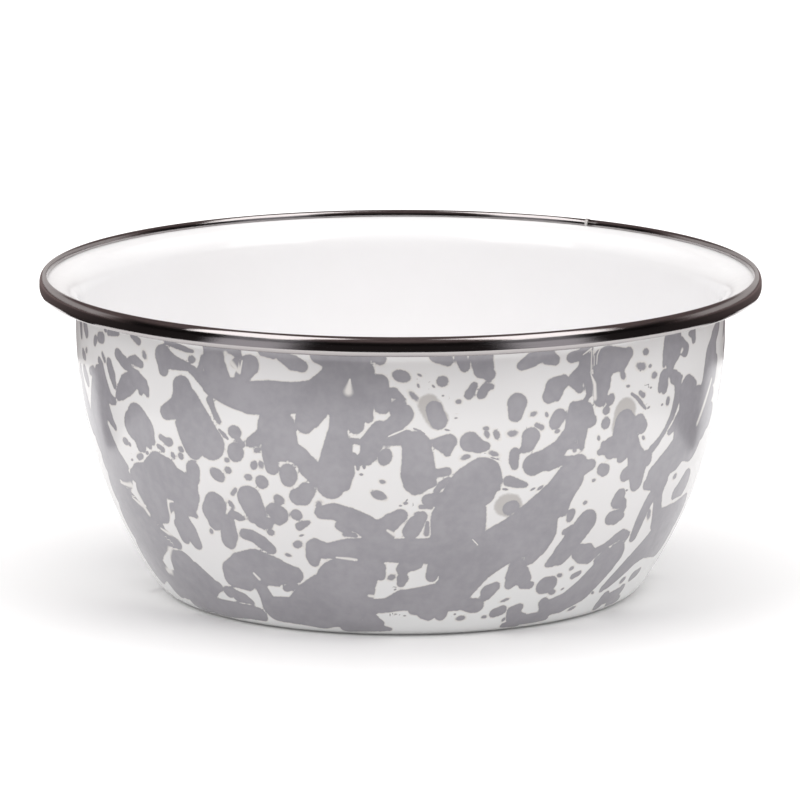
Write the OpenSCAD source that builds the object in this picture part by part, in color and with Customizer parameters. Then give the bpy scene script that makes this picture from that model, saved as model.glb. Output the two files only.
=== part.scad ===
// Enamelled steel bowl with a stainless rim band.
// A pressed steel shell carries a ground coat and a cover coat of enamel on each face.
// Its lip flares out and turns down, and a split steel band is crimped over that edge.
// Millimetres, +Z up, origin at the centre of the foot, on the surface it stands on.

/* [Bowl] */
// Outside diameter of the straight upper wall
wall_d = 144; // [110:1:240]
// Height of the curved side, from the foot to the straight wall
side_h = 60; // [40:1:80]
// Height of the straight wall above the curved side
straight_h = 4.1; // [2:0.1:30]
// Radius of the curved side
side_r = 103; // [85:1:200]
// Radius of the corner between the side and the foot
corner_r = 6; // [3:0.5:12]

/* [Foot] */
// Width of the flat ring that the bowl stands on
foot_w = 6; // [2:0.5:12]
// Height that the centre panel is pressed up inside the ring
panel_rise = 1.2; // [0.4:0.1:3]
// Radius of the two bends between the ring and the panel
step_r = 4; // [2:0.5:8]

/* [Lip] */
// Overhang of the rim band outside the straight wall
lip_overhang = 8; // [6.5:0.1:20]
// Radius of the flare between the wall and the flange
flare_r = 4; // [2:0.1:5.5]
// Slope of the flange, rising outwards, in degrees
flange_slope = 12; // [2:1:30]
// Radius inside the turned-down edge
curl_r = 0.2; // [0.1:0.05:1]
// Straight depth of the turned-down edge
skirt_h = 0.7; // [0.6:0.1:6]

/* [Sheet and coats] */
// Thickness of the pressed steel
steel_t = 0.5; // [0.4:0.05:1]
// Thickness of each ground coat
ground_t = 0.1; // [0.08:0.01:0.2]
// Thickness of each cover coat
cover_t = 0.15; // [0.1:0.01:0.3]

/* [Rim band] */
// Thickness of the band's strip
band_t = 0.35; // [0.2:0.05:0.6]
// Clearance between the band and the enamelled lip
band_gap = 0.05; // [0.02:0.01:0.1]
// Height of the band's leg inside the turned-down edge
hem_h = 0.4; // [0.3:0.1:0.6]
// Height of the outer bend under the band, from the band's lowest point
hem_bend_h = 1.4; // [0.9:0.05:2]
// Height of the crown's inner bend, from its foot on the lip
crown_in_h = 1.4; // [1:0.05:3]
// Reach of the crown's inner bend, from the crown's top towards the bowl
crown_in_w = 0.65; // [0.5:0.05:1]
// Height of the crown's outer bend
crown_out_h = 2; // [1:0.05:3]
// Reach of the crown's outer bend, from the crown's top outwards
crown_out_w = 1.2; // [0.8:0.05:2]
// Place of the band's seam, in degrees from +X towards +Y
seam_at = 57; // [0:1:359]
// Opening between the band's two ends at the seam
seam_w = 0.7; // [0.2:0.05:1]
// Height that the weld stands proud of the band
weld_rise = 0.15; // [0.1:0.05:0.4]

/* [Hidden] */
$fn = 180;

// Depths into the wall, from the bowl's outer surface to its inner surface
steel_from = cover_t + ground_t;
steel_to = steel_from + steel_t;
wall_t = steel_to + ground_t + cover_t;
band_to = wall_t + band_gap + band_t;

// Side and foot: each bend is tangent to its neighbours on the outer surface
wall_r = wall_d / 2;
side_c = [wall_r - side_r, side_h];
foot_r = side_c.x + sqrt(pow(side_r - corner_r, 2) - pow(side_h - corner_r, 2));
corner_c = [foot_r, corner_r];
side_end = atan2(corner_c.y - side_c.y, corner_c.x - side_c.x);
step_turn = acos(1 - panel_rise / (2 * step_r));
step_low_c = [foot_r - foot_w, step_r];
step_high_c = [step_low_c.x - 2 * step_r * sin(step_turn), panel_rise - step_r];

// Lip: the band's outer face sets where the edge turns down
rim_r = wall_r + lip_overhang;
flare_z = side_h + straight_h;
flare_c = [wall_r + flare_r, flare_z];
flange_out = [cos(flange_slope), sin(flange_slope)];
flange_up = [-sin(flange_slope), cos(flange_slope)];
flange_start = flare_c + flare_r * flange_up;
curl_x = rim_r - band_to - curl_r;
flange_l = (curl_x + curl_r * flange_up.x - flange_start.x) / flange_out.x;
flange_end = flange_start + flange_l * flange_out;
curl_c = flange_end - curl_r * flange_up;
skirt_top = curl_c + [curl_r, 0];
skirt_end = skirt_top - [0, skirt_h];
lip_top = curl_c.y + curl_r + wall_t;

// Rim band: its crown stands on the lip, and its hem turns round the free edge of the skirt
crown_in_c = [rim_r - crown_out_w, lip_top + band_gap];
bowl_h = crown_in_c.y + crown_in_h;
crown_out_c = [crown_in_c.x, bowl_h - crown_out_h];
hem_c = skirt_end + [wall_t / 2, 0];
hem_r = wall_t / 2 + band_gap;
hem_bend_c = hem_c + [0, hem_bend_h - hem_r - band_t];
seam_turn = 2 * asin(seam_w / (2 * rim_r));

echo(rim_d = 2 * rim_r, bowl_h = bowl_h, foot_d = 2 * foot_r, wall_t = wall_t);

// Steps of the rounded parts, in degrees
bend_step = 7.5;
side_step = 2.5;

// Points of an arc about c, from the angle a0 to the angle a1.
function arc(c, r, a0, a1, step = bend_step) =
    let (n = ceil(abs(a1 - a0) / step))
    [for (i = [0:n]) c + r * [cos(a0 + (a1 - a0) * i / n), sin(a0 + (a1 - a0) * i / n)]];

// Points of an arc stretched to the half-widths in size.
function oval(c, size, a0, a1) = [for (p = arc([0, 0], 1, a0, a1)) c + [size.x * p.x, size.y * p.y]];

// A list without its first item, for an arc that starts where the one before it ends.
function rest(v) = [for (i = [1:len(v) - 1]) v[i]];

function reversed(v) = [for (i = [len(v) - 1:-1:0]) v[i]];

// Section of the wall's surface at one depth, from the axis to the free edge of the lip.
// A bend's radius grows with depth where its centre is outside the bowl.
function surface_at(depth) = concat(
    [[0, panel_rise + depth]],
    arc(step_high_c, step_r + depth, 90, 90 - step_turn),
    rest(arc(step_low_c, step_r - depth, -90 - step_turn, -90)),
    arc(corner_c, corner_r - depth, -90, side_end),
    rest(arc(side_c, side_r - depth, side_end, 0, side_step)),
    arc(flare_c, flare_r + depth, 180, 90 + flange_slope),
    arc(curl_c, curl_r + depth, 90 + flange_slope, 0),
    [skirt_end + [depth, 0]]);

// Section of the band's crown, from its foot on the lip to its outer face, at one distance
// outside the band's inner surface.
function crown_at(out) =
    let (grow = [out - band_t, out - band_t])
    concat(oval(crown_in_c, [crown_in_w, crown_in_h] + grow, 180, 90),
           rest(oval(crown_out_c, [crown_out_w, crown_out_h] + grow, 90, 0)));

// Section of the band's hem, from its outer face to its leg behind the skirt, at one distance
// outside the band's inner surface.
function hem_at(out) =
    concat(oval(hem_bend_c, [hem_r + out, hem_bend_h - band_t + out], 0, -90),
           rest(arc(hem_c, hem_r + out, -90, -180)));

// A whole layer of the bowl between two depths.
module layer(from, to) {
    rotate_extrude() polygon(concat(surface_at(from), reversed(surface_at(to))));
}

// Section of the band: it stands on the lip, covers the turned-down edge and hooks up behind it.
module band_section() {
    hem_top = skirt_end + [-band_gap, hem_h];
    polygon(concat(
        crown_at(band_t),
        hem_at(band_t),
        [hem_top - [band_t, 0], hem_top],
        reversed(hem_at(0)),
        reversed(crown_at(0))));
}

module steel_bowl() {
    color("dimgray") layer(steel_from, steel_to);
}

module outer_ground_coat() {
    color("darkslategray") layer(cover_t, steel_from);
}

module inner_ground_coat() {
    color("darkslategray") layer(steel_to, steel_to + ground_t);
}

module outer_cover_coat() {
    color("darkgray") layer(0, cover_t);
}

module inner_cover_coat() {
    color("white") layer(wall_t - cover_t, wall_t);
}

// Split ring with its two ends facing each other across the seam.
module rim_band() {
    color("silver") rotate(seam_at + seam_turn / 2)
        rotate_extrude(angle = 360 - seam_turn) band_section();
}

// Bead of weld that bridges the seam over the crown of the band.
module rim_weld() {
    color("gainsboro") rotate(seam_at - seam_turn / 2) rotate_extrude(angle = seam_turn)
        polygon(concat(crown_at(0), reversed(crown_at(band_t + weld_rise))));
}

steel_bowl();
outer_ground_coat();
inner_ground_coat();
outer_cover_coat();
inner_cover_coat();
rim_band();
rim_weld();
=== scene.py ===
# Enamel bowl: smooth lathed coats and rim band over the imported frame, marbled enamel and a plain studio.
import math

import bpy
import numpy as np
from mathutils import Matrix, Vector


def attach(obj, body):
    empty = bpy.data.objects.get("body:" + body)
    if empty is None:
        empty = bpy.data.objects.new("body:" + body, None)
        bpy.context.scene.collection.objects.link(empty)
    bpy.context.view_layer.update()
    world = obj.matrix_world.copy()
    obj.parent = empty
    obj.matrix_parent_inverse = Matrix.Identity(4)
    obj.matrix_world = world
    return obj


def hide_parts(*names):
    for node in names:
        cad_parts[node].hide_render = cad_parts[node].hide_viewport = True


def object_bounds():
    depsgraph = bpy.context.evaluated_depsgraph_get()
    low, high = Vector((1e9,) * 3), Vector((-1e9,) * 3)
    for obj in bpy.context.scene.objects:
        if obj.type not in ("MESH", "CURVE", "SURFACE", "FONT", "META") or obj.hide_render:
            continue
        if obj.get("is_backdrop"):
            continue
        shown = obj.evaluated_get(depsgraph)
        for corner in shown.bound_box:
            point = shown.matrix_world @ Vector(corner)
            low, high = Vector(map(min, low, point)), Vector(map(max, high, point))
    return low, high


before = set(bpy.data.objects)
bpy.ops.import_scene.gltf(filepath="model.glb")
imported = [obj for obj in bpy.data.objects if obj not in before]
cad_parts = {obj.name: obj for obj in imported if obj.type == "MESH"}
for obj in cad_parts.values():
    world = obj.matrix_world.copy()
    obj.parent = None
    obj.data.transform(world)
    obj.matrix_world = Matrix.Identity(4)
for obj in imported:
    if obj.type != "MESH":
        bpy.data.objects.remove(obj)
cad_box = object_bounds()

MM = 0.001
QUARTER = 90.0
HALF_TURN = 180.0
WHOLE_TURN = 360.0

# Sizes of the bowl in millimetres and degrees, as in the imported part
WALL_R = 72.0
SIDE_H = 60.0
STRAIGHT_H = 4.1
SIDE_R = 103.0
CORNER_R = 6.0
FOOT_W = 6.0
PANEL_RISE = 1.2
STEP_R = 4.0
LIP_OVERHANG = 8.0
FLARE_R = 4.0
FLANGE_SLOPE = 12.0
CURL_R = 0.2
SKIRT_H = 0.7
STEEL_T = 0.5
GROUND_T = 0.1
COVER_T = 0.15
BAND_T = 0.35
BAND_GAP = 0.05
HEM_H = 0.4
HEM_BEND_H = 1.4
CROWN_IN = np.array([0.65, 1.4])
CROWN_OUT = np.array([1.2, 2.0])
SEAM_AT = 57.0
SEAM_W = 0.7

# Grey runs
RUNS = (
    # far left
    ((-74, 69.5, 1.6), (-73, 68, 1.3)),
    ((-77.5, 69, 1.5), (-77, 66.5, 1)),
    ((-65.9, 68.4, 1.1), (-64.6, 68.6, 1.2)),
    ((-62, 70.3, 0.6), (-58.5, 70.9, 0.6)),
    ((-54, 71.3, 0.5), (-52, 70.4, 0.8)),
    ((-58.7, 66.2, 1.2), (-56.5, 64.9, 1.4), (-54.8, 64.1, 1)),
    ((-54.6, 65.8, 0.7), (-53, 66, 1.1), (-51.3, 65.4, 0.8)),
    ((-54.8, 63.6, 0.9), (-52.8, 62.3, 1.6), (-51, 60.9, 1.7), (-50.2, 60.1, 1.2)),
    ((-53.4, 61.4, 1.8), (-56, 59.9, 2.5), (-57.8, 58.2, 1.9), (-59.3, 56.7, 1)),
    ((-51.6, 59.8, 1.3), (-51.7, 59.1, 0.7)),
    ((-49.9, 60, 0.7), (-49.8, 58.9, 0.5)),
    ((-62, 63.5, 1.2), (-60.9, 61, 1.4), (-60.2, 59, 0.8)),
    ((-66.2, 63.3, 0.7), (-65.2, 62.4, 0.9)),
    ((-64.6, 65, 0.4), (-63.7, 63.8, 0.5)),
    ((-65, 62.5, 0.5), (-64, 59.8, 0.6), (-62.8, 57.2, 0.5)),
    ((-66.8, 59.8, 2.3), (-67.5, 56.5, 4.4), (-68.8, 52, 5), (-71.5, 48.5, 4)),
    ((-64.5, 56.8, 2.3), (-62.3, 55.4, 1.2), (-60.8, 55.3, 0.8)),
    ((-64.7, 53, 1.9), (-63.4, 50.5, 1.3), (-62.1, 49, 0.7)),
    ((-75.5, 58.5, 1.6), (-74, 57, 1.4)),
    ((-75.8, 62.5, 1.2), (-74.6, 62.2, 0.9)),
    ((-71.3, 59.6, 0.9), (-69.5, 60.5, 0.8)),
    ((-79.5, 58, 1.5), (-78.5, 52, 3.5), (-76, 47, 3)),
    ((-65.6, 48.6, 0.5), (-63.2, 43.2, 0.7), (-60.6, 40.2, 0.7)),
    # round blob and the drips under it
    ((-53.6, 52.6, 3.7), (-51.9, 50.7, 3.6)),
    ((-55.2, 51, 3.4), (-53, 50, 3.1)),
    ((-52.8, 48.3, 1.9), (-54, 46.3, 1.2)),
    ((-54.5, 47.4, 1), (-53, 46.2, 1)),
    ((-50.5, 49.6, 1.7), (-49.9, 48.6, 1.1)),
    ((-47.3, 49.8, 0.6), (-45.6, 49, 0.9), (-44.9, 49.3, 0.8)),
    ((-48.4, 47.6, 0.5), (-47.2, 47, 0.6)),
    ((-55.2, 43.6, 0.5), (-54, 44.2, 0.5)),
    # left mass
    ((-72, 38.5, 2.5), (-68.5, 38, 1.5), (-65, 36.8, 0.8)),
    ((-72, 44, 4.2), (-67.3, 44.5, 3.9), (-65.8, 41, 3.8), (-62.4, 37.5, 3)),
    ((-58.5, 38.5, 1.6), (-56, 39, 3), (-52.5, 39, 3.9), (-49.2, 42.3, 3.8), (-46.8, 42, 3.3)),
    ((-56, 35, 3.6), (-52.5, 34, 4.5), (-48, 38, 4.5), (-43, 38, 3.6)),
    ((-44.8, 40.4, 2.9), (-41.6, 39.8, 2.2)),
    ((-45, 34.5, 1.9), (-43, 35.4, 2.6), (-41.8, 37.3, 2.3)),
    ((-40.2, 43.8, 1.9), (-40.5, 42, 1.9)),
    ((-54.5, 31, 3.2), (-52, 31, 2.6)),
    ((-43.6, 32.8, 0.9), (-42, 32.2, 0.6)),
    ((-46, 34.5, 1.9), (-46.1, 30.5, 2.4), (-45, 27.9, 2.4), (-44.2, 25, 1.8)),
    ((-47.6, 28.6, 1.7), (-47.2, 25.5, 1.5)),
    # lower left
    ((-70, 32, 5), (-63, 31, 3), (-59.5, 28, 3.2), (-56, 26.5, 3.6)),
    ((-70, 24, 5.5), (-62, 22, 5.5), (-58, 24, 4.5), (-53, 24, 2.2), (-50.2, 23.4, 1.2)),
    ((-70, 14, 6), (-63, 15, 3.8), (-61.5, 10, 4)),
    ((-61, 10, 3.6), (-54, 11, 4.4), (-52, 16, 5.2), (-50.5, 17.3, 4.2)),
    ((-50, 12.5, 5.3), (-45.8, 13.2, 3.2), (-42.6, 13.4, 1.4)),
    ((-47.4, 17.2, 2), (-44.2, 14.8, 1.3)),
    ((-40.3, 12.3, 1.5), (-38.8, 12.6, 1.3)),
    ((-38.5, 11, 0.9), (-36.3, 10.4, 0.7)),
    ((-55, 6.5, 3), (-45, 6.5, 3), (-38, 7, 2.3), (-33.5, 6.8, 2)),
    # upper left
    ((-44.5, 71.6, 0.5), (-41.4, 71, 0.6), (-38.4, 70.4, 0.3)),
    ((-45.4, 68.4, 2.4), (-43, 67.4, 1.6), (-41.3, 67.2, 1.2), (-39.3, 66.9, 0.8), (-37.2, 65.4, 1.1)),
    ((-45.4, 68.4, 2.3), (-45.3, 65.2, 1.3)),
    ((-37.2, 65.4, 1.2), (-34.5, 63.6, 1.9)),
    ((-34, 72.5, 2.5), (-33.8, 69, 2.6), (-33, 64.8, 3.2)),
    ((-30.8, 72.3, 1.1), (-29.2, 71.7, 1.1)),
    ((-36.2, 69.5, 0.5), (-36.6, 66.8, 0.7)),
    ((-29.5, 69, 0.9), (-28.6, 70.3, 0.7)),
    ((-26.7, 69, 2.2), (-28.2, 66.2, 1.6)),
    ((-24, 72.4, 1.2), (-22, 71.9, 1)),
    ((-20.6, 71.5, 1.2), (-18.6, 70.3, 1.6), (-17, 69.6, 1.2)),
    ((-14, 72.2, 1.8), (-13, 71.2, 1.4)),
    # upper centre band
    ((-34.5, 63.8, 2.4), (-31, 62.7, 3.1), (-27, 61.8, 3.5), (-23, 62.2, 3.7), (-18.5, 62.6, 3.3)),
    ((-18.5, 62.6, 3.3), (-14.5, 63.1, 3.6), (-11.3, 66.3, 3.7), (-9, 70.5, 4.6), (-8.8, 73, 4)),
    ((-11, 62, 3), (-8.5, 61.5, 2.6)),
    ((-34.8, 60.4, 0.8), (-34.3, 58.6, 0.6), (-33.6, 56.6, 0.6), (-33.1, 55.7, 0.5)),
    ((-33.2, 53.9, 0.2), (-32.3, 52.8, 0.4), (-31.6, 52.1, 0.2)),
    # left centre blob
    ((-40.9, 62.1, 2.6), (-40.2, 58.4, 4.2), (-38.4, 53.8, 5.1), (-35.6, 50.6, 3.9)),
    ((-39.6, 52, 3), (-39.4, 48.2, 2.1)),
    ((-42, 57.6, 2.6), (-45.3, 55.8, 1.6)),
    ((-42.6, 53.8, 0.5), (-41.8, 50.5, 0.5), (-40.9, 47.8, 0.4)),
    # middle drips
    ((-22.2, 60, 3), (-21.9, 55.5, 4.4), (-21.4, 52.2, 4.1)),
    ((-24.4, 53.7, 1.6), (-27, 51.8, 1.1)),
    ((-23.4, 51, 1.9), (-23.4, 48, 1.7), (-23.2, 46.4, 1.5)),
    ((-20.4, 51.3, 2.4), (-18, 49.7, 2.1), (-16.3, 47.8, 2), (-15.4, 45.4, 1)),
    ((-15.8, 60.2, 2.6), (-16.7, 57, 2.1)),
    ((-13.6, 60, 1.4), (-15.2, 57.6, 1.4)),
    ((-17.3, 46.4, 1), (-15.2, 43.8, 0.9)),
    ((-9.6, 46, 1.6), (-10, 43.2, 1.2)),
    ((-11, 60, 1.3), (-10.9, 56.5, 1.8), (-10.9, 52, 3.1), (-11.4, 47, 4.1), (-12.5, 43.2, 3.1)),
    ((-8.7, 53.8, 0.5), (-6.8, 53.4, 0.6)),
    ((-8.4, 49.8, 1.2), (-7.2, 48.8, 0.8)),
    ((-7.4, 48.6, 0.5), (-7.5, 47.2, 0.25)),
    ((-6.4, 48.8, 0.5), (-6.4, 47.5, 0.2)),
    ((-29.6, 52.5, 0.6), (-28.4, 51, 0.4)),
    ((-18.8, 40, 1.9), (-17.8, 40.1, 2), (-17, 41.6, 1.9)),
    ((-32, 39.2, 0.4), (-31.2, 40.3, 0.4)),
    # cores of the two pale spots
    ((5.7, 60.8, 1.7), (6.5, 58.1, 1.8)),
    ((20.1, 37.1, 1.5), (20.8, 37.4, 1.5)),
    # centre
    ((-6.3, 69, 2.2), (-6.2, 65, 2.4), (-6.8, 61.5, 2.2), (-8, 58.6, 2.2), (-7.7, 57, 1.7)),
    ((-6, 60.3, 1.5), (-5.5, 58.8, 1)),
    ((-3.6, 66.5, 1.9), (-3.4, 64, 2), (-3, 61.6, 1.8)),
    ((-1.2, 64.4, 1.1), (0.7, 62.8, 0.3)),
    ((-0.6, 60.9, 1.7), (0.5, 59.7, 2.1), (-0.7, 57.8, 1.9), (-2.4, 56, 1.7)),
    ((-3.5, 56.3, 1.9), (-4.8, 53.6, 2.4), (-5.6, 50.6, 1.8), (-5.9, 49.5, 1.3)),
    ((-2.8, 53.5, 0.8), (-0.5, 54.2, 1.4), (1, 54.6, 1.6), (3.9, 53.3, 1.5)),
    ((2.6, 53, 2.9), (3, 49.5, 3.4), (3.1, 46.2, 3.8), (2.8, 44.5, 3)),
    ((2.4, 43.2, 1.1), (2.3, 41.9, 0.6)),
    ((4, 43.8, 1.4), (5.4, 44.2, 1.2)),
    ((5.9, 53.6, 0.6), (8.3, 53.4, 1.7)),
    ((6, 52.8, 0.6), (7.4, 51.7, 0.7)),
    ((8.3, 53.2, 1.6), (8.1, 51, 0.8)),
    ((12.1, 53.2, 2.2), (13.6, 52.2, 1.5), (14.8, 52, 1)),
    ((6.7, 46.3, 0.9), (8.2, 46.6, 0.9)),
    ((6.4, 42.2, 0.6), (7.2, 43.6, 0.7), (8.4, 44.8, 0.5)),
    ((5, 39.9, 1.4), (7.5, 40, 1.7)),
    ((3.6, 38.4, 0.35), (5.4, 38.5, 0.5)),
    ((2.2, 56.6, 0.1), (3.2, 56, 0.2), (4.2, 55.3, 0.1)),
    ((11.7, 63.7, 0.9), (12.6, 65.7, 0.7)),
    ((13.9, 63.7, 1), (14.6, 65.2, 0.9), (15.6, 65.3, 0.6)),
    ((5.8, 72.4, 1.2), (8, 71.3, 1.1)),
    ((10.2, 72.4, 1.2), (11, 69.9, 1.1)),
    ((13.8, 72.4, 2.6), (14.2, 69.4, 2.2), (15.2, 67.9, 1.3)),
    ((-4.2, 72.5, 1.4), (-3.4, 71.8, 1.2)),
    # right of centre trunk
    ((15.4, 44, 3.4), (15, 41, 2.6)),
    ((14.4, 45, 4.5), (12.3, 43, 4.6), (10.8, 39.5, 4.7), (10, 35, 5.6), (10.2, 30, 5.6)),
    ((13.6, 36.5, 2.7), (13.6, 32.5, 2.9)),
    ((10.2, 30, 5.6), (10.5, 25, 4.6), (11, 19, 4.4)),
    ((33, 45.8, 2.5), (31.7, 42.8, 3.8), (29.5, 38.8, 4.3), (26.5, 35, 4.8), (23.5, 30.3, 6)),
    ((23.5, 30.3, 6), (19, 27.5, 5.6), (15, 23.5, 5.2), (12.5, 18, 4.4)),
    ((34.8, 45.2, 1.6), (36, 45.4, 1.2)),
    ((27.9, 33, 3.2), (28.4, 29.8, 3.1), (27.5, 26.6, 2.7), (26.4, 23.8, 1.6)),
    ((31.2, 37.5, 2), (31.5, 35, 1.2)),
    ((33.6, 43.4, 0.8), (35, 44.4, 0.9)),
    # upper right
    ((20.3, 61.2, 2.2), (20.1, 58.7, 1.5)),
    ((21, 69.3, 0.9), (23, 70.6, 1.6), (25, 72, 1.6)),
    ((26.2, 70.8, 1.7), (27.3, 70, 1.1)),
    ((29, 65.1, 1.5), (27.2, 64.2, 2), (26.3, 62.2, 1.5)),
    ((28.2, 62.9, 0.9), (27.8, 61.7, 0.7)),
    ((31.6, 65.2, 1.9), (33.4, 67.6, 1.5), (33.6, 71.5, 1.7)),
    ((30.6, 70.2, 1.1), (32.5, 70.6, 1.1)),
    ((31.9, 64, 1.2), (32.3, 63, 0.8)),
    ((34.2, 65, 1.2), (34.4, 61.5, 0.6)),
    ((38, 69.4, 2.3), (41, 68.3, 2.5), (42.9, 69.3, 1.4)),
    ((36.8, 69, 2.2), (36.9, 65, 1.9), (36.8, 60.3, 1.7)),
    ((37.9, 66, 1.5), (38.1, 62.6, 0.8)),
    ((39.3, 66.4, 0.9), (40.4, 66.2, 0.5)),
    ((31.3, 59.3, 1.2), (32.8, 59, 1.2)),
    ((34, 61.2, 0.4), (33.3, 59.6, 0.7)),
    ((32.6, 57, 3.5), (31.1, 53.5, 2.1), (29, 50.4, 1.9), (26.2, 48.1, 2.3), (24, 47.1, 2.5)),
    ((34, 56.5, 2.4), (35, 55.6, 1.4)),
    ((31.6, 47.4, 0.8), (29.5, 47.3, 1), (27, 46.5, 1.2)),
    ((31, 50.5, 0.6), (32.3, 50.3, 0.6)),
    ((33.2, 54.5, 1.6), (33.3, 51.5, 0.9), (33.5, 49.6, 0.5)),
    ((28.4, 57.6, 1.6), (27.7, 56.2, 1.5)),
    ((24.1, 56, 0.4), (25, 55.4, 0.5)),
    ((23.1, 53.5, 2.1), (22.7, 51.7, 1.6), (22, 50.8, 0.9)),
    ((20.2, 50.2, 1.1), (20.2, 48, 1), (20.4, 47, 0.8)),
    ((19.5, 43.7, 1.2), (21.1, 43, 1), (22.8, 42.4, 0.5)),
    ((16.8, 43, 0.8), (17.7, 42, 0.5)),
    ((44, 60.2, 0.25), (45.3, 59.2, 0.3), (47, 57.2, 0.35), (47.9, 56.2, 0.2)),
    ((46.1, 60.1, 0.35), (47, 59.4, 0.45)),
    ((42.8, 54, 2.9), (42.8, 51, 3.3), (41.5, 48.4, 2.2), (40.3, 47.8, 1.7)),
    ((45, 52.5, 2), (46.4, 53.4, 1.8), (47.4, 52.3, 1.6)),
    ((43.5, 50, 2), (43.5, 46.6, 1.4), (42.9, 45.8, 1.1)),
    ((39.3, 50.6, 0.5), (41, 50.5, 1)),
    ((38.2, 49.9, 0.6), (39.6, 49.4, 1)),
    ((37.6, 48.2, 0.7), (39.1, 48.4, 1.1)),
    ((38.6, 44, 1.25), (39.3, 43.6, 1.4)),
    ((44.8, 50, 2), (46, 47.2, 2), (47.8, 43.3, 3.2), (48.5, 39, 2)),
    ((44.9, 41.6, 1.6), (46.5, 42.4, 1.9)),
    ((49.8, 45, 1.3), (50.5, 43.9, 1.4)),
    # far right
    ((54.2, 70.8, 1.9), (53.3, 67.5, 1.5), (52.5, 65.3, 0.6)),
    ((55.6, 70.4, 2.6), (55.6, 67.5, 2.4), (54.4, 65, 1.5), (54.2, 63.5, 1.2)),
    ((57.4, 68.4, 1.9), (59.2, 67.2, 1.6)),
    ((52.6, 62.4, 1.6), (52.1, 60.8, 1.3), (51.6, 59.9, 0.8)),
    ((53.1, 61, 1.1), (52.9, 59.4, 0.8)),
    ((54.4, 63, 0.9), (55.6, 61.8, 1.5), (57, 60.9, 1.5), (58.3, 61.2, 0.4)),
    ((57.1, 60.4, 1.3), (57.2, 58, 1.1), (57.1, 56, 1.2), (56.2, 53.1, 0.9), (54.5, 50.1, 0.6)),
    ((54.5, 50.1, 0.6), (52.7, 47.8, 0.7), (51, 46.3, 0.9)),
    ((60.8, 70.3, 0.5), (62.3, 70.1, 1.1), (62.5, 68.8, 0.9)),
    ((60.6, 58.2, 3), (61.4, 54.5, 3.8), (61.5, 50, 4.2)),
    ((62.3, 59.4, 1), (63.6, 58.4, 0.9)),
    ((58.6, 52.4, 1.2), (57, 50, 1), (55.9, 49.3, 0.7)),
    ((58.4, 50.5, 1), (58.5, 48, 0.9)),
    ((66.5, 46, 6), (60.5, 45.3, 3.6), (57, 42.3, 3.2), (53.7, 39.8, 2.8)),
    ((52, 38, 1.4), (55.5, 38.3, 3), (57, 37.4, 2.7)),
    ((58.6, 40, 1.3), (61, 40.3, 1.1), (62.6, 41.2, 0.9)),
    ((75.4, 69, 1.5), (72.6, 67, 2), (71.2, 63, 3.9), (70.5, 59.5, 4), (68.5, 56, 2.6)),
    ((63.5, 55, 3), (67.5, 53.5, 4), (71, 54, 3.6)),
    ((66, 48.5, 4.5), (71, 48, 4)),
    ((74, 61, 2), (74, 57.5, 1.2)),
    ((73.4, 54, 1.6), (71.6, 52.4, 0.9)),
    ((70, 49.5, 2), (74, 49, 3)),
    # lower right
    ((54.6, 34.3, 1.6), (53.7, 31, 1.8), (53.1, 27.5, 1.7), (53, 24.6, 1.3)),
    ((57, 36.5, 2), (57.3, 33.5, 1.7), (58.5, 30.5, 1.7), (60.1, 27.2, 2.2)),
    ((68, 34.5, 3.4), (64.8, 32.9, 1.6)),
    ((61, 28.2, 1.9), (66, 27.5, 2.6), (72, 26, 5)),
    ((70, 21, 5.5), (62.5, 21.8, 4.7), (57.8, 18.7, 2.9), (54.2, 15.2, 2.4),
     (51.6, 12.6, 1.7), (50.2, 11.3, 1)),
    ((61.6, 12.1, 1.4), (63.6, 12.7, 1.2)),
    ((53, 8.3, 1.6), (52.5, 6, 1.8)),
    ((54.6, 7.4, 1.6), (57.4, 7.8, 1.8)),
    ((59.2, 8.7, 1.7), (57.5, 6.3, 2), (61, 5.5, 1.2)),
    ((48.7, 20.6, 3.6), (46.3, 17.3, 4.2), (43.2, 12.8, 4.2), (39, 9.7, 3.1), (34.8, 8.7, 2.4)),
    ((32.8, 10.6, 1.3), (34, 8.9, 1.9)),
    ((43.4, 20.5, 0.7), (45.6, 22.4, 0.8)),
    ((49.2, 17.8, 1.6), (47.8, 15.6, 1.6)),
    ((37.6, 23.8, 2), (39.4, 23, 2.6), (41.1, 22, 2), (42.1, 22.5, 1.4)),
    ((42.1, 22.5, 1.4), (44.5, 23.9, 0.8), (46.5, 25.2, 1.1), (48.6, 26.2, 1.3), (50.4, 25.4, 1.1)),
    ((44.6, 36.6, 1.7), (44, 35.4, 1.5), (45.9, 34.4, 1.3), (46.7, 33.2, 0.7)),
    ((43.6, 31.3, 1.6), (45.2, 31.3, 1.8), (46.6, 31.1, 0.9)),
    ((37.4, 31.4, 3), (36.2, 29, 2.9), (33.6, 24.6, 2.6), (31.8, 22.4, 1.6), (30.8, 21.6, 0.8)),
    ((35, 25, 2), (33.6, 22.6, 1.7)),
    ((32.8, 29.7, 0.7), (34.2, 30.2, 0.9)),
    ((33.4, 34.2, 1.1), (33.3, 32.9, 0.8)),
    ((38.4, 17, 0.75), (39.9, 17.7, 0.6)),
    ((31.5, 15.6, 2.3), (32.8, 15.7, 2.2)),
    ((23.8, 21.5, 2.3), (23.5, 19.5, 2.2), (23.1, 17.2, 1.4)),
    ((24.4, 17.6, 0.8), (25.5, 17.4, 0.8)),
    ((25.4, 20, 1.6), (26.6, 18, 1.3)),
    ((26, 16.5, 0.9), (28, 16.2, 0.9)),
    ((19.8, 16.7, 1.3), (18.4, 15.4, 1.9), (18.2, 14.5, 1.5)),
    ((13.6, 12.2, 1.6), (15.8, 11.7, 2.1), (16.5, 11.6, 2)),
    ((21.1, 8.9, 1.25), (22.7, 9.6, 1.4)),
    ((25.2, 9.2, 1.2), (26.8, 9.8, 1.3)),
    ((25, 8, 0.9), (25.4, 6.6, 0.8)),
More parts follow.
